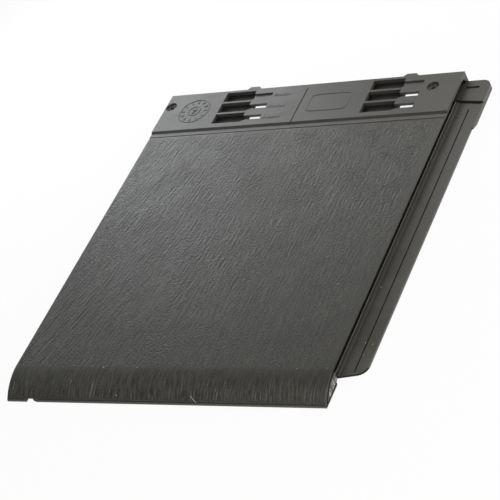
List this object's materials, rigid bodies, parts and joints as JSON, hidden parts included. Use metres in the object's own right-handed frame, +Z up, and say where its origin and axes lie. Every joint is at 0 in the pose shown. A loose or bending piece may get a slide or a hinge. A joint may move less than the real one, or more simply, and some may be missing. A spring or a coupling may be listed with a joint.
{
  "type": "plastic roof tile",
  "caption": "Flat slate-look plastic roof tile with a rounded nose, a head strip with keyhole slots and screw recesses, and a side interlock flange.",
  "frame": {"origin": "middle of the whole outline, on the level plane that the tile rests on", "axes": "+Y from the nose to the head, +X across the tile towards the interlock flange, +Z up out of the weather face"},
  "size_m": [0.3364, 0.3834, 0.0147],
  "materials": {
    "tile_plastic": "satin moulded plastic with slate grain"
  },
  "bodies": {
    "root": {"roof_tile": "tile_plastic"}
  },
  "joints": []
}
